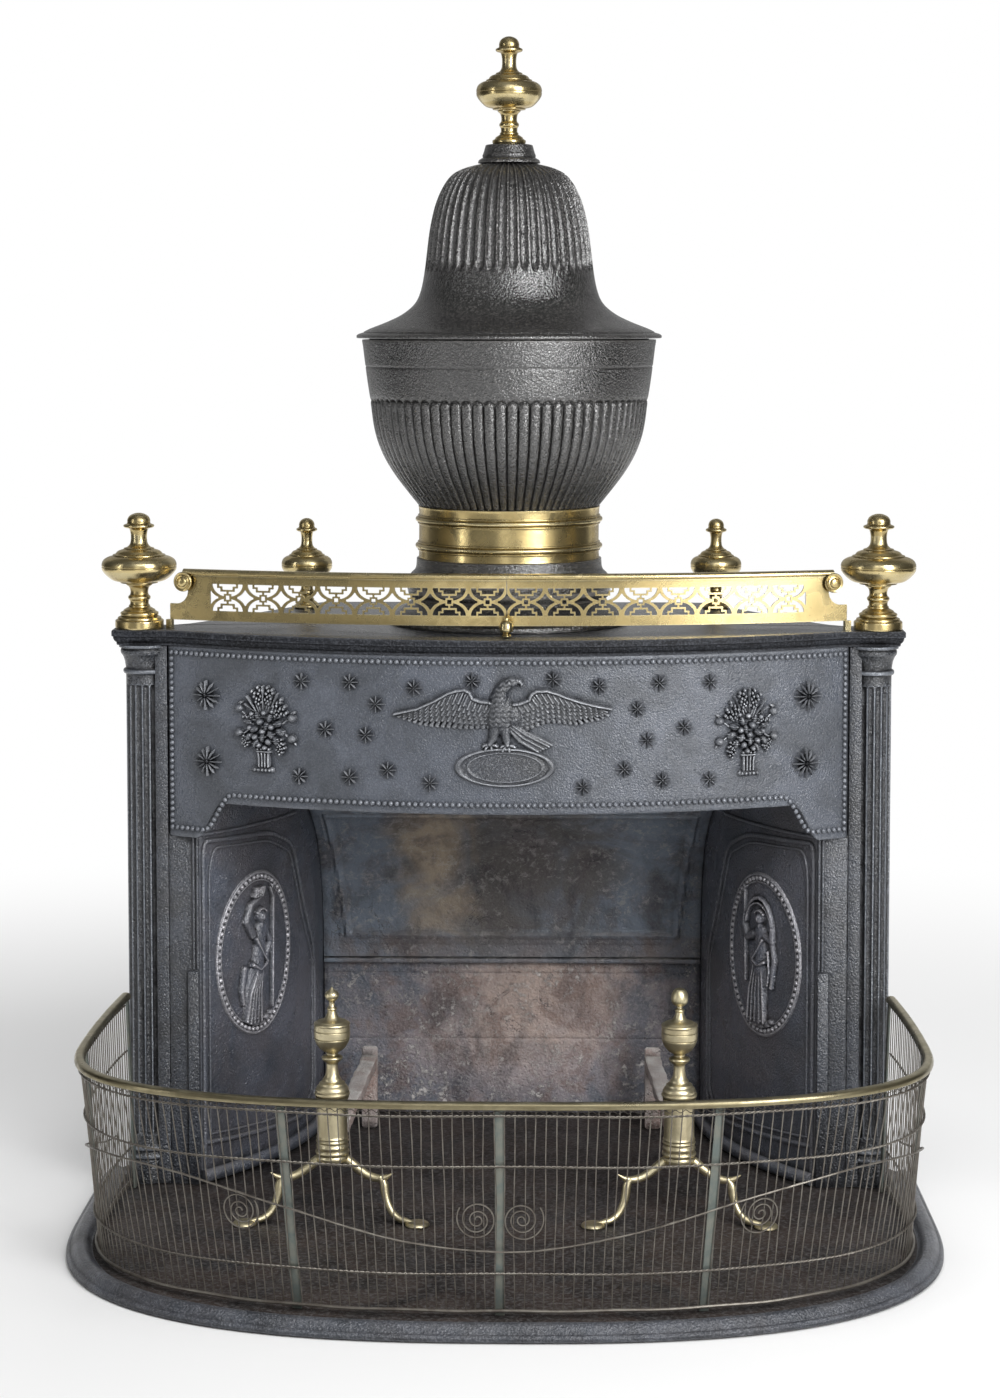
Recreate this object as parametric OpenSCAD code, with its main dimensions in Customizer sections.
// Open front hearth stove: iron plates and fluted columns, a bowed frieze, a brass
// gallery, an urn radiator, a pair of andirons and a wire fender on a D-shaped hearth.
// Millimetres, +Z up, the front faces -Y. Every module is drawn in a working frame whose
// y = 0 is the face of the columns; place() then centres the whole on its own box.

/* [Hearth] */
// Half width of the hearth plate at its widest
hearth_half = 541; // [520:1:660]
// How far the hearth reaches in front of the columns
hearth_reach = 568; // [470:1:690]
// Thickness of the hearth plate
hearth_t = 11; // [8:1:16]
// Height of the moulded rim above the floor
rim_h = 20; // [16:1:30]
// Width of the moulded rim
rim_w = 30; // [20:1:40]

/* [Columns] */
// Half distance between the column axes
column_x = 473; // [400:1:480]
// Radius of a column shaft
column_r = 24; // [19:1:29]
// Flutes on the front half of a column
column_flutes = 8; // [5:1:10]
// Radius of one flute
flute_r = 3.6; // [2:0.1:4]
// Height of the drum at the foot of a column
drum_h = 32; // [24:1:44]
// Height of the two rings above the drum
base_ring_h = 22; // [16:1:30]

/* [Body] */
// Height of the stove top above the floor
top_z = 741; // [620:1:900]
// Thickness of the top plate
top_t = 8; // [6:1:12]
// Height of the cornice moulding under the top plate
cornice_h = 12; // [8:1:20]
// How far the cornice stands in front of the frieze
cornice_out = 7; // [3:1:12]
// How far the middle of the frieze bows forward
bow = 118; // [60:1:140]
// Height of the frieze at the middle of the opening
frieze_h = 201; // [150:1:240]
// How far the frieze ends hang below its middle
frieze_drop = 48; // [20:1:60]
// Width of each hanging end of the frieze
frieze_end_w = 37; // [25:1:60]
// Width of the curve between the end and the middle
frieze_ogee_w = 39; // [25:1:60]
// Thickness of the wall plates
wall_t = 8; // [6:1:12]
// Distance from the column face to the rear plate
body_depth = 366; // [300:1:440]
// Half width of the fire chamber at the rear plate
rear_half = 268; // [220:1:320]
// How far the curved cheeks bulge into the fire chamber
cheek_sag = 38; // [20:1:50]
// Width of the flat stile between column and cheek
stile_w = 39; // [25:1:50]
// Width of the flat strip between column and stile
strip_w = 8; // [6:1:14]

/* [Fireback] */
// Height of the lower fireback above the hearth
fireback_h = 218; // [170:1:270]
// Thickness of the lower fireback
fireback_t = 10; // [8:1:14]
// Radius of the cove in the upper fireback
cove_r = 305; // [250:1:360]
// Angle that the cove turns through
cove_angle = 60; // [40:1:66]

/* [Flue] */
// Height of the flue outlet's centre
flue_z = 620; // [560:1:650]
// Outer radius of the flue spigot
flue_r = 76; // [60:1:90]
// Wall of the flue spigot
flue_wall = 6; // [4:1:9]
// Length of the flue spigot behind the rear plate
flue_len = 34; // [25:1:60]

/* [Urn] */
// Distance of the urn's axis behind the column face
urn_y = 110; // [100:1:130]
// Radius of the urn's foot flange
urn_foot_r = 157; // [150:1:175]
// Height of the urn's foot
urn_foot_h = 86; // [70:1:105]
// Radius of the brass collar
collar_r = 119; // [112:1:140]
// Height of the brass collar
collar_h = 69; // [55:1:85]
// Largest radius of the bowl
bowl_r = 193; // [165:1:230]
// Height of the bowl
bowl_h = 225; // [185:1:270]
// Wall of the bowl and the lid
urn_wall = 7; // [5:1:9]
// How far the lid's brim stands outside the bowl
brim_out = 8; // [4:1:16]
// Height of the lid
lid_h = 224; // [185:1:270]
// Height of the cap on the lid
cap_h = 25; // [18:1:32]
// Height of the finial on the cap
urn_finial_h = 140; // [115:1:170]
// Radius of the disc of that finial
urn_finial_r = 43; // [34:1:52]

/* [Damper] */
// Radius of the smoke hole under the urn
smoke_r = 45; // [36:1:50]
// Radius of the damper rod
damper_rod_r = 3; // [2:0.5:4]

/* [Gallery and finials] */
// How far the middle of the gallery bows forward
gallery_bow = 79; // [40:1:100]
// Gap between the top plate and the gallery
gallery_lift = 12; // [8:1:20]
// Height of the pierced band
gallery_h = 58; // [45:1:72]
// Thickness of the gallery sheet
gallery_t = 2.5; // [1.5:0.5:4]
// Pierced bays in each half of the gallery
gallery_bays = 8; // [5:1:10]
// Radius of the roundel at each end
roundel_r = 14.5; // [10:0.5:18]
// Height of a front finial above its plinth
front_finial_h = 134; // [110:1:160]
// Radius of the disc of a front finial
front_finial_r = 48.5; // [38:0.5:58]
// Height of a front finial's plinth
plinth_h = 16; // [12:1:22]
// Radius of a front finial's plinth
plinth_r = 31.5; // [26:0.5:38]
// Height of a rear finial
rear_finial_h = 125; // [100:1:150]
// Radius of the disc of a rear finial
rear_finial_r = 35; // [28:0.5:42]
// Half distance between the rear finials
rear_finial_x = 283; // [230:1:300]
// Distance of the rear finials behind the column face
rear_finial_y = 285; // [240:1:300]

/* [Andirons] */
// Half distance between the andiron shafts
andiron_x = 218; // [180:1:260]
// Distance of an andiron shaft in front of the columns
andiron_out = 141; // [120:1:200]
// Height of an andiron shaft
andiron_h = 307; // [270:1:360]
// Half spread of an andiron's feet
andiron_spread = 108; // [90:1:112]
// Height of the top of the log bar
log_bar_z = 112; // [104:1:125]
// Width of the log bar
log_bar_w = 22; // [16:1:28]
// Depth of the log bar section
log_bar_h = 16; // [12:1:20]
// Distance of the log bar's rear end behind the column face
log_bar_back = 290; // [230:1:310]

/* [Fender] */
// Height of the fender's rail
fender_h = 267; // [220:1:320]
// Gap between the fender's foot and the hearth rim
fender_gap = 34; // [25:1:50]
// How much further forward the rail is than the foot
fender_lean = 30; // [10:1:34]
// Width of the fender's rail
fender_rail_w = 13; // [10:1:18]
// Distance between two upright wires
wire_pitch = 11; // [9:0.5:20]
// Radius of an upright wire
wire_r = 0.75; // [0.5:0.05:1.2]

/* [Hidden] */
$fn = 96;

// Clearance of a seat that can be taken apart, and of a stud in its hole
seat_gap = 0.3;
stud_gap = 0.2;
stud_r = 4;

// Working frame to row frame
flue_end = body_depth + wall_t + flue_len;
y_mid = (hearth_reach - flue_end) / 2;

// The column's neck below the frieze's top edge, and the height of its cap
neck_drop = 50;
cap_rise = 14;

// Bolts through the frieze's ends into the columns
frieze_bolt_r = 3;
frieze_bolt_in = 14;
frieze_bolt_from_end = 60;
frieze_bolt_y = 1;
frieze_bolt_len = 28;

// Heights of the body
slab_z = top_z - top_t;
frieze_top = slab_z - cornice_h;
frieze_bottom = frieze_top - frieze_h;
frieze_low = frieze_bottom - frieze_drop;

// Plan of the body
strip_x = column_x - column_r - strip_w;
cheek_x = strip_x - stile_w;
jamb_y = 10;
frieze_end_y = 5;
frieze_r = (pow(strip_x, 2) + pow(bow, 2)) / (2 * bow);
frieze_cy = frieze_end_y - bow + frieze_r;
cap_out = 15;
cap_half = column_r + cap_out;
cap_back = 2 * column_r + 10;
// A cheek follows an arc from the stile to the rear plate, seen from above
cheek_run = [rear_half - cheek_x, body_depth - jamb_y];
cheek_len = norm(cheek_run);
cheek_r = (pow(cheek_len / 2, 2) + pow(cheek_sag, 2)) / (2 * cheek_sag);
cheek_c = [cheek_x, jamb_y] + cheek_run / 2
  + (cheek_r - cheek_sag) * [cheek_run[1], -cheek_run[0]] / cheek_len;
chamber_half = rear_half + wall_t;
fireback_y = body_depth - seat_gap - fireback_t - 1;
ledge_z = hearth_t + fireback_h;
ledge_t = 8;
cove_cy = fireback_y - ledge_t - cove_r;

// Plan of the hearth: a full curve in front, straight behind the widest line
hearth_n = 2.6;
hearth_cy = -160;
hearth_back = body_depth + wall_t + 14;

// Heights of the urn
collar_z = top_z + urn_foot_h;
bowl_z = collar_z + collar_h;
brim_z = bowl_z + bowl_h;
brim_r = bowl_r + brim_out;
lid_top = brim_z + lid_h;
cap_top = lid_top + cap_h;

// Damper
damper_disc_r = smoke_r + 7;
damper_disc_t = 4;
rod_z = top_z + seat_gap + damper_disc_t + damper_rod_r + 1;
knob_y = -(bow - frieze_end_y) + 20;
knob_h = 25;
knob_r = 9;

// Gallery
finial_x = column_x + 6;
finial_y = column_r;
tongue_end = finial_x - plinth_r - seat_gap;
gallery_half = tongue_end - 26;
gallery_end_y = 20;
gallery_r = (pow(tongue_end, 2) + pow(gallery_bow, 2)) / (2 * gallery_bow);
gallery_cy = gallery_end_y - gallery_bow + gallery_r;
gallery_z = top_z + gallery_lift;
rail_h = 9;
tongue_h = 21;

// Andirons
leg_top = 94;
andiron_r = 20;

// Fender, whose plan follows the inside of the rim
foot_n = 2.5;
foot_cy = hearth_cy - 30;
rail_n = 2.7;
rail_cy = hearth_cy - 112;
fender_foot_half = hearth_half - rim_w - 11;
fender_foot_front = hearth_reach - rim_w - fender_gap;
fender_top_half = fender_foot_half + 9;
fender_top_front = fender_foot_front + fender_lean;
fender_end_y = -6;
fender_end_in = 12;
rail_t = 9;
foot_gap = 0.2;
hoop_r = 2;
upright_w = 11;
upright_t = 3;
strap_gap = 0.7;

function mix(a, b, t) = a + (b - a) * t;
function unit(v) = v / norm(v);

// Point t degrees along a full front curve of half width a and reach b
function bow_pt(a, b, n, cy, t) =
  [a * sign(cos(t)) * pow(abs(cos(t)), 2 / n), cy - b * pow(abs(sin(t)), 2 / n)];

// Running length along a list of points
function run(p) =
  [for (i = 0, s = 0; i < len(p);
        s = s + (i + 1 < len(p) ? norm(p[i + 1] - p[i]) : 0), i = i + 1) s];

// Tube of radius list r along points p; up is a direction that the path never takes
function ring(p, i, r, up, n, squash) =
  let (a = p[max(0, i - 1)], b = p[min(len(p) - 1, i + 1)],
       t = unit(b - a), u = unit(cross(t, up)), v = cross(t, u))
  [for (k = [0:n - 1]) p[i] + r * (cos(360 * k / n) * u + squash * sin(360 * k / n) * v)];

module tube(p, r, up = [0, 0, 1], n = 6, squash = 1) {
  m = len(p);
  pts = [for (i = [0:m - 1]) each ring(p, i, is_list(r) ? r[i] : r, up, n, squash)];
  sides = [for (i = [0:m - 2], k = [0:n - 1])
    each [[i * n + k, (i + 1) * n + k, (i + 1) * n + (k + 1) % n],
          [i * n + k, (i + 1) * n + (k + 1) % n, i * n + (k + 1) % n]]];
  ends = [[for (k = [0:n - 1]) k], [for (k = [n - 1:-1:0]) (m - 1) * n + k]];
  polyhedron(pts, concat(sides, ends), convexity = 8);
}

module place() translate([0, y_mid, 0]) children();
module flip(s) mirror([s < 0 ? 1 : 0, 0, 0]) children();
module rod(p, q, r) {
  d = q - p;
  translate(p)
    rotate([0, acos(d[2] / norm(d)), atan2(d[1], d[0])])
      cylinder(r = r, h = norm(d));
}
// Children stand on the outside of an arc of radius r about [0, cy], at half width x
module on_arc(r, cy, x) translate([0, cy, 0]) rotate(asin(x / r)) translate([0, -r, 0]) children();

// ---- hearth ----
module hearth_outline(inset, back) {
  a = hearth_half - inset;
  b = hearth_reach + hearth_cy - inset;
  front = [for (t = [0:4:180]) bow_pt(a, b, hearth_n, hearth_cy, t)];
  polygon(concat(front, back));
}

module hearth_plate() color([0.16, 0.17, 0.19]) place() {
  rim_back = cap_back;
  side = hearth_half - 3;
  tail = rear_half + wall_t + 30;
  step_z = 9;
  difference() {
    union() {
      linear_extrude(step_z)
        hearth_outline(0, [[-side, rim_back], [-tail, hearth_back], [tail, hearth_back],
                           [side, rim_back]]);
      translate([0, 0, step_z])
        linear_extrude(hearth_t - step_z)
          hearth_outline(6, [[6 - side, rim_back], [-tail, hearth_back],
                             [tail, hearth_back], [side - 6, rim_back]]);
      translate([0, 0, hearth_t])
        linear_extrude(rim_h - hearth_t)
          difference() {
            hearth_outline(6, [[6 - side, rim_back], [side - 6, rim_back]]);
            hearth_outline(rim_w, [[rim_w - side, rim_back + 1], [side - rim_w, rim_back + 1]]);
          }
    }
    for (s = [-1, 1])
      translate([s * column_x, column_r, -1]) {
        cylinder(r = stud_r + stud_gap, h = hearth_t + 2);
        cylinder(r = 9, h = 1 + 6);
      }
  }
}

// ---- columns ----
// Children lie along +Y at the height of each bolt of one side
module at_frieze_bolts()
  for (z = [frieze_low + frieze_bolt_from_end, frieze_top - frieze_bolt_from_end])
    translate([strip_x - frieze_bolt_in, frieze_bolt_y, z]) rotate([-90, 0, 0]) children();
module column(s) color([0.17, 0.18, 0.20]) place() flip(s) {
  shaft_z = hearth_t + drum_h + base_ring_h;
  neck_z = frieze_top - neck_drop;
  cap_z = frieze_top - cap_rise;
  difference() {
    union() {
      translate([column_x, column_r, hearth_t]) cylinder(r = column_r + 2, h = drum_h);
      translate([column_x, column_r, hearth_t + drum_h])
        rotate_extrude()
          polygon([[0, 0], [column_r + 2, 0], [column_r + 4, 3], [column_r + 4, 7],
                   [column_r + 1, 10], [column_r + 3, 13], [column_r + 3, 17],
                   [column_r, base_ring_h], [0, base_ring_h]]);
      difference() {
        translate([column_x, column_r, shaft_z]) cylinder(r = column_r, h = cap_z - shaft_z);
        for (i = [0:column_flutes - 1])
          translate([column_x, column_r, shaft_z + 6])
            rotate(180 + (i + 0.5) * 180 / column_flutes)
              translate([column_r + 1, 0, 0]) cylinder(r = flute_r, h = neck_z - shaft_z - 12);
      }
      translate([column_x, column_r, neck_z + 6])
        rotate_extrude() polygon([[0, 0], [column_r, 0], [column_r + 4, 4], [column_r, 8], [0, 8]]);
      translate([column_x, column_r, cap_z])
        rotate_extrude()
          polygon([[0, 0], [column_r, 0], [column_r + 6, 7], [column_r + 9, 9],
                   [column_r + 9, cap_rise], [0, cap_rise]]);
      translate([strip_x, column_r, hearth_t])
        cube([2 * column_r + strip_w, column_r * 0.6, frieze_top - hearth_t]);
      translate([cheek_x, jamb_y - wall_t, hearth_t])
        cube([stile_w + strip_w + 4, wall_t, frieze_low - seat_gap - hearth_t]);
      translate([strip_x, jamb_y - wall_t, hearth_t])
        cube([strip_w + 4, column_r, frieze_top - hearth_t]);
      translate([cheek_x + wall_t + 2, frieze_end_y + 12, frieze_low])
        cube([stile_w - wall_t - 1, wall_t, frieze_top - frieze_low]);
    }
    at_frieze_bolts() cylinder(r = frieze_bolt_r + stud_gap, h = 60);
    translate([column_x, column_r, -1]) cylinder(r = stud_r + stud_gap, h = 50);
    translate([finial_x, finial_y, frieze_top - 30]) cylinder(r = stud_r + stud_gap, h = 40);
  }
}
module left_column() column(-1);
module right_column() column(1);

// ---- frieze ----
function ogee(x0, z0, x1, z1) =
  [for (i = [0:12]) [mix(x0, x1, i / 12), mix(z0, z1, (1 - cos(180 * i / 12)) / 2)]];
module frieze_plate() color([0.20, 0.22, 0.25]) place() {
  half = strip_x - seat_gap;
  low = half - frieze_end_w;
  curve = ogee(low, frieze_low, low - frieze_ogee_w, frieze_bottom);
  mirrored = [for (i = [len(curve) - 1:-1:0]) [-curve[i][0], curve[i][1]]];
  difference() {
    intersection() {
      translate([0, 0, frieze_low])
        linear_extrude(frieze_top - frieze_low)
          difference() {
            translate([0, frieze_cy]) circle(r = frieze_r, $fn = 240);
            translate([0, frieze_cy]) circle(r = frieze_r - wall_t, $fn = 240);
            translate([-2 * half, frieze_end_y + 40]) square([4 * half, 2 * frieze_r]);
          }
      translate([0, 100, 0])
        rotate([90, 0, 0])
          linear_extrude(400)
            polygon(concat([[half, frieze_top], [half, frieze_low]], curve, mirrored,
                           [[-half, frieze_low], [-half, frieze_top]]));
    }
    for (s = [-1, 1]) flip(s) at_frieze_bolts() cylinder(r = frieze_bolt_r + stud_gap, h = 60);
  }
}
module frieze_bolts() color([0.25, 0.25, 0.26]) place()
  for (s = [-1, 1])
    flip(s)
      at_frieze_bolts() {
        cylinder(r = frieze_bolt_r, h = frieze_bolt_len);
        translate([0, 0, frieze_bolt_len]) cylinder(r = 2 * frieze_bolt_r, h = 4, $fn = 6);
      }

// ---- top plate ----
module top_outline(grow) {
  arc_half = asin((strip_x + grow) / (frieze_r + grow));
  front = [for (i = [0:48]) let (a = mix(-arc_half, arc_half, i / 48))
    [(frieze_r + grow) * sin(a), frieze_cy - (frieze_r + grow) * cos(a)]];
  cap_in = strip_x + grow;
  cap_end = column_x + cap_half - cornice_out + grow;
  cheek_back = chamber_half + 4;
  polygon(concat(front,
    [[cap_in, -grow], [cap_end, -grow], [cap_end, cap_back],
     [strip_x + 4, cap_back], [cheek_x + 10, cap_back + 30],
     [cheek_back, body_depth - 14], [cheek_back - 16, body_depth + wall_t + 4],
     [16 - cheek_back, body_depth + wall_t + 4], [-cheek_back, body_depth - 14],
     [-cheek_x - 10, cap_back + 30], [-strip_x - 4, cap_back],
     [-cap_end, cap_back], [-cap_end, -grow], [-cap_in, -grow]]));
}
module top_plate() color([0.17, 0.18, 0.20]) place()
  difference() {
    union() {
      translate([0, 0, slab_z]) linear_extrude(top_t) top_outline(cornice_out);
      translate([0, 0, frieze_top])
        linear_extrude(cornice_h)
          difference() {
            top_outline(cornice_out - 3);
            translate([0, frieze_cy]) circle(r = frieze_r - wall_t, $fn = 240);
            translate([-strip_x, jamb_y]) square([2 * strip_x, 2 * body_depth]);
            translate([-column_x - cap_half, cap_back - 2])
              square([2 * (column_x + cap_half), 2 * body_depth]);
          }
    }
    translate([0, urn_y, 0]) cylinder(r = smoke_r, h = 2 * top_z);
    for (s = [-1, 1]) {
      translate([s * finial_x, finial_y, 0]) cylinder(r = stud_r + stud_gap, h = 2 * top_z);
      translate([s * rear_finial_x, rear_finial_y, 0])
        cylinder(r = stud_r + stud_gap, h = 2 * top_z);
    }
  }

// ---- walls ----
module side_plate(s) color([0.19, 0.19, 0.21]) place() flip(s)
  translate([0, 0, hearth_t])
    linear_extrude(slab_z - hearth_t)
      intersection() {
        difference() {
          translate(cheek_c) circle(r = cheek_r, $fn = 360);
          translate(cheek_c) circle(r = cheek_r - wall_t, $fn = 360);
        }
        translate([0, jamb_y + 0.1]) square([cheek_c[0], body_depth - jamb_y - 0.1]);
      }
module left_side_plate() side_plate(-1);
module right_side_plate() side_plate(1);

module rear_plate() color([0.16, 0.16, 0.17]) place()
  difference() {
    translate([-chamber_half, body_depth, hearth_t])
      cube([2 * chamber_half, wall_t, slab_z - hearth_t]);
    translate([0, body_depth - 1, flue_z])
      rotate([-90, 0, 0]) cylinder(r = flue_r - flue_wall, h = wall_t + 2);
    flue_bolt_holes();
  }
module flue_bolt_holes()
  for (a = [45:90:315])
    translate([(flue_r + 14) * cos(a), body_depth - 1, flue_z + (flue_r + 14) * sin(a)])
      rotate([-90, 0, 0]) cylinder(r = stud_r + stud_gap, h = wall_t + 20);
module flue_collar() color([0.17, 0.17, 0.18]) place()
  difference() {
    translate([0, body_depth + wall_t, flue_z]) rotate([-90, 0, 0]) {
      cylinder(r = flue_r, h = flue_len);
      cylinder(r = flue_r + 26, h = 6);
    }
    translate([0, body_depth, flue_z])
      rotate([-90, 0, 0]) cylinder(r = flue_r - flue_wall, h = wall_t + flue_len + 1);
    flue_bolt_holes();
  }
module flue_bolts() color([0.25, 0.25, 0.26]) place()
  for (a = [45:90:315])
    translate([(flue_r + 14) * cos(a), body_depth, flue_z + (flue_r + 14) * sin(a)])
      rotate([-90, 0, 0]) {
        translate([0, 0, 0.1]) cylinder(r = stud_r, h = wall_t + 6);
        translate([0, 0, wall_t + 6]) cylinder(r = 7, h = 5, $fn = 6);
      }
module base_bolts() color([0.25, 0.25, 0.26]) place()
  for (s = [-1, 1])
    translate([s * column_x, column_r, 1]) {
      cylinder(r = 8, h = 5, $fn = 6);
      cylinder(r = stud_r, h = 45);
    }

// ---- fireback ----
// Space between the two side plates, less the seat
module between_cheeks(h)
  linear_extrude(h)
    difference() {
      translate([-cheek_x, 0]) square([2 * cheek_x, body_depth]);
      for (s = [-1, 1])
        translate([s * cheek_c[0], cheek_c[1]]) circle(r = cheek_r + 2 * seat_gap, $fn = 360);
    }
module lower_fireback() color([0.36, 0.31, 0.30]) place()
  intersection() {
    translate([0, 0, hearth_t]) between_cheeks(fireback_h);
    translate([-cheek_x, fireback_y, 0]) cube([2 * cheek_x, fireback_t, top_z]);
  }
module upper_fireback() color([0.28, 0.27, 0.24]) place()
  intersection() {
    translate([0, 0, ledge_z]) between_cheeks(top_z);
    translate([-cheek_x, 0, 0])
      rotate([90, 0, 90])
        linear_extrude(2 * cheek_x) {
          translate([fireback_y - ledge_t - 3, ledge_z]) square([fireback_t + ledge_t + 3, ledge_t]);
          translate([cove_cy, ledge_z + ledge_t])
            difference() {
              circle(r = cove_r + wall_t, $fn = 180);
              circle(r = cove_r, $fn = 180);
              translate([-2 * cove_r, -4 * cove_r]) square(4 * cove_r);
              rotate(cove_angle) square(4 * cove_r);
              translate([-4 * cove_r, -cove_r]) square([4 * cove_r, 4 * cove_r]);
            }
        }
  }

// ---- urn ----
module turn(points, y = urn_y) translate([0, y, 0]) rotate_extrude() polygon(points);

module urn_foot() color([0.14, 0.13, 0.13]) place()
  difference() {
    turn([[0, top_z], [urn_foot_r, top_z], [urn_foot_r, top_z + 9], [urn_foot_r - 8, top_z + 14],
          [urn_foot_r - 14, top_z + 22], [collar_r + 8, top_z + 32], [collar_r + 13, top_z + 40],
          [collar_r + 14, top_z + 50], [collar_r + 12, top_z + 60], [collar_r + 5, top_z + 68],
          [collar_r + 3, collar_z], [0, collar_z]]);
    turn([[0, top_z - 1], [urn_foot_r - 22, top_z - 1], [urn_foot_r - 22, top_z + 14],
          [collar_r - 7, top_z + 24], [collar_r - 7, collar_z + 1], [0, collar_z + 1]]);
    translate([-6, urn_y - urn_foot_r - 5, top_z - 1]) cube([12, 60, 17]);
  }
module urn_collar() color([0.72, 0.56, 0.28]) place() {
  bead = 4;
  turn([[collar_r - 5, collar_z], [collar_r, collar_z], [collar_r, collar_z + 12],
        [collar_r + bead, collar_z + 15], [collar_r, collar_z + 18],
        [collar_r, bowl_z - 22], [collar_r + bead, bowl_z - 19], [collar_r, bowl_z - 16],
        [collar_r, bowl_z], [collar_r - 5, bowl_z]]);
}
// Outline of the bowl, drawn in by the wall for its hollow
function bowl_line(t) = [
  [collar_r - t, bowl_z],
  [mix(collar_r, bowl_r, 0.40) - t, bowl_z + bowl_h * 0.18],
  [mix(collar_r, bowl_r, 0.64) - t, bowl_z + bowl_h * 0.30],
  [mix(collar_r, bowl_r, 0.79) - t, bowl_z + bowl_h * 0.44],
  [mix(collar_r, bowl_r, 0.86) - t, bowl_z + bowl_h * 0.63],
  [mix(collar_r, bowl_r, 0.92) - t, bowl_z + bowl_h * 0.75],
  [bowl_r - t, bowl_z + bowl_h - 5]];
module urn_bowl() color([0.13, 0.12, 0.12]) place()
  difference() {
    turn(concat([[0, bowl_z]], bowl_line(0), [[0, brim_z - 5]]));
    turn(concat([[0, bowl_z + urn_wall]],
      [for (p = bowl_line(urn_wall)) [p[0], max(p[1], bowl_z + urn_wall)]],
      [[bowl_r - urn_wall, brim_z], [0, brim_z]]));
    turn([[0, bowl_z - 1], [collar_r / 2, bowl_z - 1], [collar_r / 2, brim_z], [0, brim_z]]);
  }
// Outline of the lid: flared brim, then a tall bell
lid_shape = [[0.79, 0.08], [0.70, 0.12], [0.62, 0.18], [0.577, 0.25], [0.552, 0.36],
             [0.537, 0.48], [0.517, 0.63], [0.473, 0.78], [0.403, 0.91], [0.303, 0.97],
             [0.204, 1]];
function lid_line(t) = [for (p = lid_shape) [p[0] * brim_r - t, brim_z + p[1] * lid_h - t * 0.6]];
module urn_lid() color([0.13, 0.12, 0.12]) place()
  difference() {
    union() {
      turn(concat([[0, brim_z - 5], [brim_r, brim_z - 5], [brim_r, brim_z + 1]],
                  lid_line(0), [[0, lid_top]]));
      turn([for (p = [[7, -14], [3, -14], [3, -4], [7, -4]])
        [bowl_r - urn_wall - p[0], brim_z + p[1]]]);
    }
    turn(concat([[0, brim_z - 6], [brim_r * 0.79 - urn_wall, brim_z - 6]], lid_line(urn_wall),
                [[0, lid_top - urn_wall]]));
    translate([0, urn_y, 0]) cylinder(r = stud_r + stud_gap, h = 2 * lid_top);
  }
module urn_cap() color([0.14, 0.13, 0.13]) place()
  difference() {
    turn([[0, lid_top], [41, lid_top], [40, lid_top + 6], [34, lid_top + 12],
          [31, cap_top], [0, cap_top]]);
    translate([0, urn_y, 0]) cylinder(r = stud_r + stud_gap, h = 2 * lid_top);
  }
module lid_stud() color([0.3, 0.3, 0.3]) place()
  translate([0, urn_y, lid_top - urn_wall - 8]) {
    cylinder(r = stud_r, h = 8 + urn_wall + cap_h + 20);
    cylinder(r = 9, h = 8, $fn = 6);
  }

// ---- finials ----
// Shares of the height and of the disc's radius, from the foot ring up to the tip
finial_shape = [[0.44, 0], [0.44, 0.05], [0.37, 0.10], [0.36, 0.14], [0.20, 0.165],
                [0.27, 0.22], [0.28, 0.25], [0.23, 0.30], [0.26, 0.36], [0.39, 0.375],
                [0.40, 0.39], [0.76, 0.42], [0.96, 0.47], [1, 0.50], [1, 0.55],
                [0.96, 0.58], [0.80, 0.63], [0.46, 0.685], [0.42, 0.70], [0.25, 0.73],
                [0.175, 0.80], [0.19, 0.855], [0.27, 0.88], [0.33, 0.905], [0.33, 0.92],
                [0.26, 0.955], [0.14, 0.985], [0, 1]];
module finial(h, r)
  difference() {
    rotate_extrude() polygon(concat([[0, 0]], [for (p = finial_shape) [p[0] * r, p[1] * h]]));
    translate([0, 0, -1]) cylinder(r = stud_r + stud_gap, h = 25);
  }
module urn_finial() color([0.75, 0.60, 0.30]) place()
  translate([0, urn_y, cap_top]) finial(urn_finial_h, urn_finial_r);
module front_finial(s) color([0.75, 0.60, 0.30]) place()
  translate([s * finial_x, finial_y, top_z + plinth_h]) finial(front_finial_h, front_finial_r);
module left_front_finial() front_finial(-1);
module right_front_finial() front_finial(1);
module rear_finial(s) color([0.75, 0.60, 0.30]) place()
  translate([s * rear_finial_x, rear_finial_y, top_z]) finial(rear_finial_h, rear_finial_r);
module left_rear_finial() rear_finial(-1);
module right_rear_finial() rear_finial(1);
module finial_plinth(s) color([0.74, 0.58, 0.29]) place()
  translate([s * finial_x, finial_y, top_z])
    difference() {
      rotate_extrude()
        polygon([[0, 0], [plinth_r, 0], [plinth_r, plinth_h - 5], [plinth_r - 3, plinth_h - 4],
                 [plinth_r - 3, plinth_h - 1], [plinth_r - 5, plinth_h], [0, plinth_h]]);
      translate([0, 0, -1]) cylinder(r = stud_r + stud_gap, h = plinth_h + 2);
    }
module left_finial_plinth() finial_plinth(-1);
module right_finial_plinth() finial_plinth(1);
module finial_studs() color([0.3, 0.3, 0.3]) place()
  for (s = [-1, 1]) {
    translate([s * finial_x, finial_y, frieze_top - 28])
      cylinder(r = stud_r, h = top_z + plinth_h + 20 - frieze_top + 28);
    translate([s * rear_finial_x, rear_finial_y, slab_z + seat_gap])
      cylinder(r = stud_r, h = top_t + 20);
  }

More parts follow.
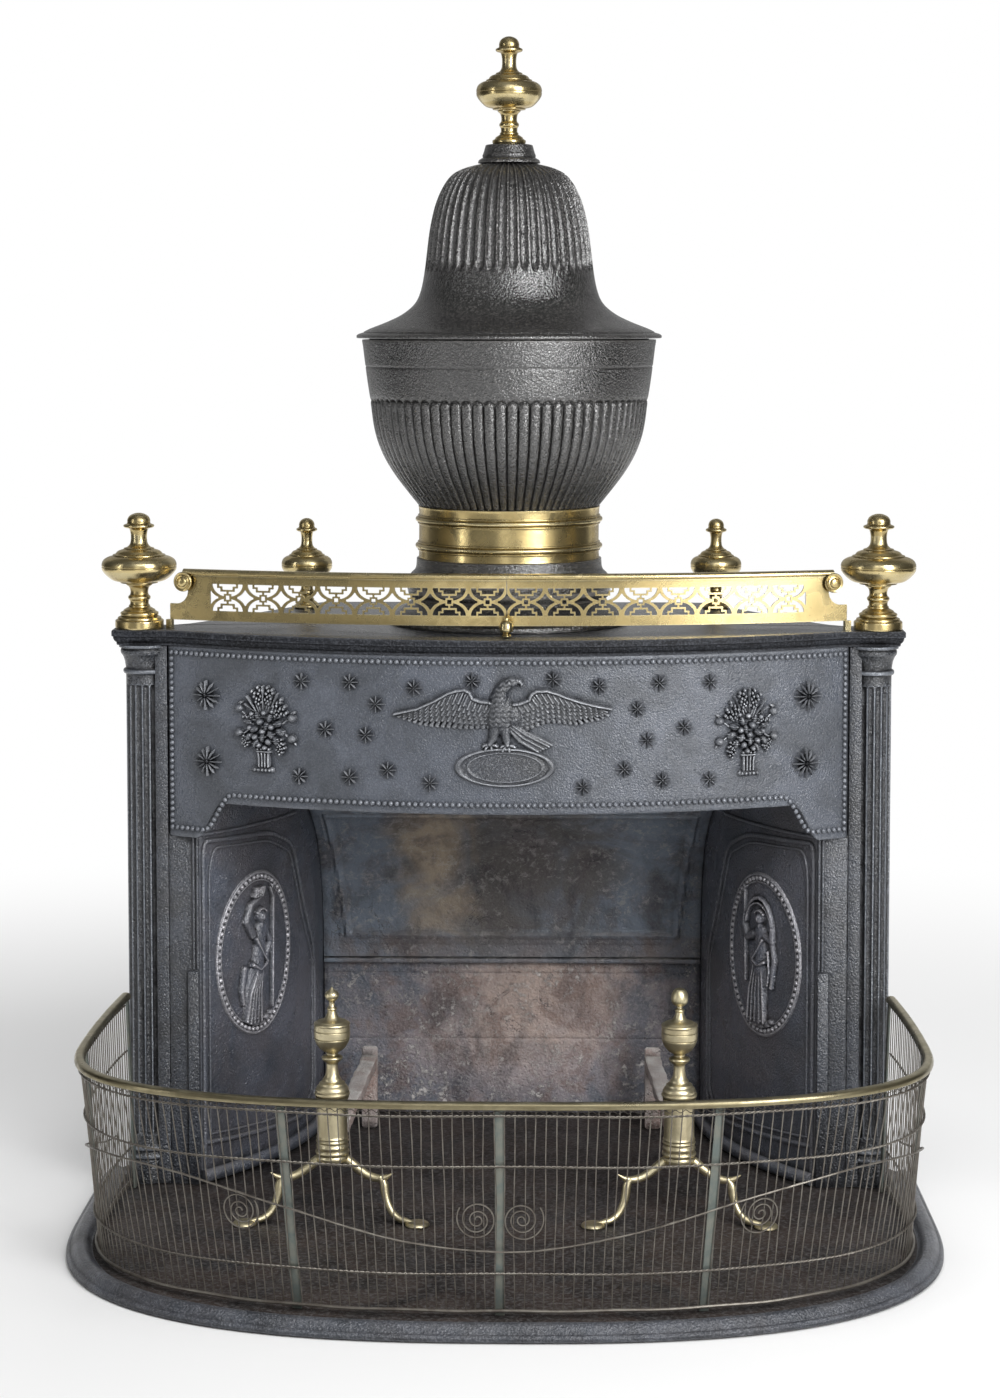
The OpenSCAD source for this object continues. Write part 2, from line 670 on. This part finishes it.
// ---- damper ----
module damper_disc() color([0.2, 0.2, 0.21]) place() {
  translate([0, urn_y, top_z + seat_gap]) cylinder(r = damper_disc_r, h = damper_disc_t);
  translate([-7, urn_y - damper_disc_r + 4, top_z + seat_gap])
    cube([14, 10, rod_z + damper_rod_r + 2 - top_z - seat_gap]);
}
module damper_rod() color([0.45, 0.42, 0.38]) place()
  translate([0, knob_y + 4, rod_z])
    rotate([-90, 0, 0]) cylinder(r = damper_rod_r, h = urn_y - damper_disc_r - knob_y);
module damper_knob() color([0.75, 0.60, 0.30]) place()
  difference() {
    translate([0, knob_y, top_z + 1.5])
      rotate_extrude()
        polygon([for (i = [0:12]) let (a = -90 + 15 * i)
          [knob_r * cos(a) * (i == 0 || i == 12 ? 0 : 1), knob_h / 2 * (1 + sin(a))]]);
    translate([0, knob_y + 4, rod_z])
      rotate([-90, 0, 0]) cylinder(r = damper_rod_r, h = 20);
  }

// ---- gallery ----
module gallery_sweep(half)
  translate([0, gallery_cy, 0])
    rotate(270) rotate_extrude(angle = asin(half / gallery_r), $fn = 360) children();
module gallery_panel(s) color([0.74, 0.58, 0.29]) place() flip(s) {
  seam = 0.1;
  bay = (gallery_half - 40) / gallery_bays;
  difference() {
    union() {
      gallery_sweep(gallery_half)
        translate([gallery_r - gallery_t, gallery_z]) square([gallery_t, gallery_h]);
      gallery_sweep(tongue_end)
        translate([gallery_r - gallery_t, gallery_z]) square([gallery_t, tongue_h]);
    }
    translate([-seam, -gallery_r, 0]) cube([2 * seam, 2 * gallery_r, 2 * top_z]);
    for (i = [0:gallery_bays - 1])
      on_arc(gallery_r, gallery_cy, (i + 0.5) * bay)
        translate([-bay / 2 + 2, -10, gallery_z + 13]) cube([bay - 4, 20, gallery_h - 23]);
  }
}
module left_gallery_panel() gallery_panel(-1);
module right_gallery_panel() gallery_panel(1);
module gallery_rail(s) color([0.76, 0.60, 0.30]) place() flip(s)
  difference() {
    gallery_sweep(gallery_half + 6)
      translate([gallery_r - gallery_t / 2, gallery_z + gallery_h])
        polygon([[-5, 0], [5, 0], [5, 3], [3.5, rail_h - 2], [1.5, rail_h], [-1.5, rail_h],
                 [-3.5, rail_h - 2], [-5, 3]]);
    translate([-0.1, -gallery_r, 0]) cube([0.2, 2 * gallery_r, 2 * top_z]);
  }
module left_gallery_rail() gallery_rail(-1);
module right_gallery_rail() gallery_rail(1);
module gallery_splice() color([0.70, 0.55, 0.28]) place()
  translate([0, gallery_cy - gallery_r + gallery_t + 0.2, gallery_z])
    translate([-14, 0, 0]) cube([28, 2.5, 12]);
module gallery_roundels() color([0.76, 0.60, 0.30]) place()
  for (s = [-1, 1])
    on_arc(gallery_r, gallery_cy, s * gallery_half)
      translate([0, 0, gallery_z + gallery_h - roundel_r + 3])
        rotate([90, 0, 0]) {
          translate([0, 0, 0.1]) cylinder(r = 6, h = 4);
          translate([0, 0, 4.1]) cylinder(r = roundel_r, h = 4);
          translate([0, 0, 8.1]) cylinder(r1 = 7, r2 = 4, h = 3);
        }
module gallery_feet() color([0.72, 0.56, 0.28]) place()
  for (s = [-1, 1])
    on_arc(gallery_r, gallery_cy, s * (tongue_end - 8))
      translate([-4, -2, top_z]) cube([8, 7, gallery_lift]);

// ---- andirons ----
// Radius and share of the plinth's height, from the legs up
andiron_shape = [[20, 0], [21, 0.05], [21, 0.12], [19, 0.15], [21, 0.18], [19, 0.22],
                 [19, 0.35], [20, 0.38], [20, 0.96], [21.5, 1]];
// Radius and share of the height of the turned part above the plinth
urn_shape = [[21.5, 0], [22, 0.042], [21, 0.092], [20, 0.135], [12, 0.164], [9, 0.229],
             [7, 0.301], [12, 0.344], [14, 0.366], [7, 0.38], [8, 0.402], [16, 0.438],
             [21, 0.503], [22.6, 0.56], [22.6, 0.654], [20, 0.676], [18, 0.683], [9, 0.705],
             [6, 0.748], [5, 0.784], [6, 0.798], [4, 0.813], [3.5, 0.841], [4, 0.863],
             [6.8, 0.899], [6.8, 0.928], [4, 0.957], [1.5, 0.971], [0, 1]];
plinth_top_z = mix(leg_top, andiron_h, 0.347);
function shaft_line(shape, z0, z1) = [for (p = shape) [p[0], mix(z0, z1, p[1])]];
module andiron_place(s) place() translate([s * andiron_x, -andiron_out, 0]) children();
module andiron_plinth(s) color([0.66, 0.56, 0.32])
  andiron_place(s) rotate_extrude()
    polygon(concat([[0, leg_top]], shaft_line(andiron_shape, leg_top, plinth_top_z),
                   [[0, plinth_top_z]]));
module left_andiron_plinth() andiron_plinth(-1);
module right_andiron_plinth() andiron_plinth(1);
module andiron_urn(s) color([0.68, 0.57, 0.33])
  andiron_place(s) rotate_extrude()
    polygon(concat([[0, plinth_top_z + seat_gap]],
                   shaft_line(urn_shape, plinth_top_z + seat_gap, andiron_h)));
module left_andiron_urn() andiron_urn(-1);
module right_andiron_urn() andiron_urn(1);
// One leg: out from the shaft, a knee with a spur, down to a long flat foot
function leg_path(s) = [
  [s * 2, 0, 86], [s * 18, -2, 85], [s * 34, -4, 82], [s * 48, -7, 77], [s * 58, -10, 69],
  [s * 62, -12, 60], [s * 62, -14, 50], [s * 63, -16, 40], [s * 67, -19, 30],
  [s * 76, -23, 22], [s * 90, -27, 18], [s * (andiron_spread - 2), -30, 17]];
leg_r = [7, 7, 6.5, 6, 5.6, 5.2, 5, 5, 5, 5.2, 5.4, 4.5];
module andiron_legs(s) color([0.66, 0.56, 0.32])
  andiron_place(s) {
    translate([0, 0, 78]) cylinder(r = 15, h = leg_top - 78);
    for (k = [-1, 1]) {
      tube(leg_path(k), leg_r, [0, 1, 0], 8);
      tube([[k * 57, -10, 68], [k * 66, -12, 68], [k * 74, -13, 71]], [4, 3.4, 1.5],
           [0, 1, 0], 8);
      translate([k * andiron_spread, -30, hearth_t + foot_gap]) cylinder(r1 = 15, r2 = 11, h = 5.5);
    }
  }
module left_andiron_legs() andiron_legs(-1);
module right_andiron_legs() andiron_legs(1);
module log_bar(s) color([0.33, 0.30, 0.29]) place() flip(s) {
  in_step = 20;
  y0 = -andiron_out + andiron_r + 1.3;
  x0 = andiron_x;
  plan = [[x0 - log_bar_w / 2, y0], [x0 + log_bar_w / 2, y0],
                  [x0 - in_step + log_bar_w / 2, log_bar_back],
                  [x0 - in_step - log_bar_w / 2, log_bar_back]];
  translate([0, 0, log_bar_z - log_bar_h]) linear_extrude(log_bar_h) polygon(plan);
  translate([x0 - in_step - log_bar_w / 2, log_bar_back - 18, hearth_t + foot_gap])
    cube([log_bar_w, 18, log_bar_z - hearth_t - foot_gap - 2]);
  translate([x0 - in_step - log_bar_w / 2, log_bar_back - 8, log_bar_z - 2])
    cube([log_bar_w, 8, 14]);
}
module left_log_bar() log_bar(-1);
module right_log_bar() log_bar(1);

// ---- fender ----
// Points of a fender line of half width a and reach f, evenly spaced along its length
function fender_raw(a, f, n, cy) = concat(
  [for (i = [0:7]) [-a + fender_end_in * pow(1 - i / 8, 2), mix(fender_end_y, cy, i / 8)]],
  [for (t = [180:-3:0]) bow_pt(a, f + cy, n, cy, t)],
  [for (i = [7:-1:0]) [a - fender_end_in * pow(1 - i / 8, 2), mix(fender_end_y, cy, i / 8)]]);
foot_raw = fender_raw(fender_foot_half, fender_foot_front, foot_n, foot_cy);
top_raw = fender_raw(fender_top_half, fender_top_front, rail_n, rail_cy);
foot_run = run(foot_raw);
top_run = run(top_raw);
foot_len = foot_run[len(foot_run) - 1];
top_len = top_run[len(top_run) - 1];
function along(raw, s_run, s) = [
  lookup(s, [for (i = [0:len(raw) - 1]) [s_run[i], raw[i][0]]]),
  lookup(s, [for (i = [0:len(raw) - 1]) [s_run[i], raw[i][1]]])];
// Point at share s of the fender's length and at height z, moved out by d
function fender_pt(s, z, d = 0) =
  let (k = (z - hearth_t) / (fender_h - hearth_t),
       f0 = along(foot_raw, foot_run, s * foot_len), t0 = along(top_raw, top_run, s * top_len),
       f1 = along(foot_raw, foot_run, min(1, s + 0.002) * foot_len),
       f2 = along(foot_raw, foot_run, max(0, s - 0.002) * foot_len),
       t = unit(f1 - f2), p = mix(f0, t0, k))
  [p[0] + t[1] * d, p[1] - t[0] * d, z];
fender_steps = 72;
rail_z = fender_h - rail_t;
wire_top = rail_z - 0.2;
wire_foot = hearth_t + 5;
upright_step = 251;
upright_at = [0.004, 0.15, 0.5 - upright_step / top_len, 0.5, 0.5 + upright_step / top_len,
              0.85, 0.996];

module fender_rail() color([0.62, 0.50, 0.26]) place()
  tube([for (i = [0:fender_steps]) fender_pt(i / fender_steps, rail_z + rail_t / 2)],
       fender_rail_w / 2, [0, 0, 1], 8, rail_t / fender_rail_w);
module fender_foot_hoop() color([0.30, 0.29, 0.27]) place()
  tube([for (i = [0:fender_steps]) fender_pt(i / fender_steps, wire_foot + 2, wire_r + hoop_r + 0.1)],
       hoop_r, [0, 0, 1], 6);
module fender_uprights() color([0.38, 0.42, 0.38]) place()
  for (s = upright_at) {
    p = fender_pt(s, hearth_t + foot_gap, -wire_r - upright_t / 2 - strap_gap);
    q = fender_pt(s, rail_z - 0.2, -wire_r - upright_t / 2 - strap_gap);
    e = fender_pt(min(1, s + 0.004), hearth_t) - fender_pt(max(0, s - 0.004), hearth_t);
    d = q - p;
    a = atan2(e[1], e[0]);
    side_lean = (d[0] * cos(a) + d[1] * sin(a)) / d[2];
    front_lean = (d[1] * cos(a) - d[0] * sin(a)) / d[2];
    translate(p)
      rotate([0, 0, a])
        multmatrix([[1, 0, side_lean, 0], [0, 1, front_lean, 0], [0, 0, 1, 0]])
          translate([-upright_w / 2, -upright_t / 2, 0]) cube([upright_w, upright_t, d[2]]);
  }
module fender_wires() color([0.45, 0.43, 0.38]) place() {
  count = floor(foot_len / wire_pitch);
  for (i = [0:count])
    rod(fender_pt(i / count, wire_foot), fender_pt(i / count, wire_top), wire_r, $fn = 16);
}
module fender_twisted_wires() color([0.40, 0.38, 0.34]) place()
  for (z = [rail_z - 8, mix(hearth_t, fender_h, 0.70), mix(hearth_t, fender_h, 0.20)])
    tube([for (i = [0:fender_steps]) fender_pt(i / fender_steps, z, 2 * wire_r + 0.85)],
         wire_r + 0.5, [0, 0, 1], 6);
// The swag hangs low at the middle and at both ends, with a peak between
swag_mid = mix(hearth_t, fender_h, 0.465);
swag_rise = (fender_h - hearth_t) * 0.155;
function swag_z(s) = swag_mid - swag_rise * cos(720 * (s - 0.5));
module fender_swag() color([0.42, 0.40, 0.35]) place()
  tube([for (i = [0:96]) let (s = mix(0.04, 0.96, i / 96))
      fender_pt(s, swag_z(s), 3 * wire_r + 2.4)], 1.2, [0, 0, 1], 6);
// Flat spirals of wire: a pair at the middle and one towards each corner
spiral_r = 25;
spiral_out = 310;
spiral_at = [-spiral_out, -spiral_r - 1.3, spiral_r + 1.3, spiral_out];
spiral_z = mix(hearth_t, fender_h, 0.455);
module fender_spirals() color([0.42, 0.40, 0.35]) place()
  for (j = [0:3]) {
    turn_way = j % 2 == 0 ? 1 : -1;
    tube([for (i = [0:48]) let (a = i * 24, r = mix(4, spiral_r, i / 48))
        fender_pt(0.5 + (spiral_at[j] + turn_way * r * cos(a)) / top_len,
                  spiral_z + r * sin(a), wire_r + 1.1)],
         1, [0, 1, 0.01], 6);
  }

hearth_plate();
left_column();
right_column();
frieze_plate();
top_plate();
left_side_plate();
right_side_plate();
rear_plate();
lower_fireback();
upper_fireback();
flue_collar();
flue_bolts();
base_bolts();
frieze_bolts();
urn_foot();
urn_collar();
urn_bowl();
urn_lid();
urn_cap();
urn_finial();
lid_stud();
damper_disc();
damper_rod();
damper_knob();
left_gallery_panel();
right_gallery_panel();
left_gallery_rail();
right_gallery_rail();
gallery_splice();
gallery_roundels();
gallery_feet();
left_finial_plinth();
right_finial_plinth();
left_front_finial();
right_front_finial();
left_rear_finial();
right_rear_finial();
finial_studs();
left_andiron_plinth();
right_andiron_plinth();
left_andiron_urn();
right_andiron_urn();
left_andiron_legs();
right_andiron_legs();
left_log_bar();
right_log_bar();
fender_rail();
fender_foot_hoop();
fender_uprights();
fender_wires();
fender_twisted_wires();
fender_swag();
fender_spirals();
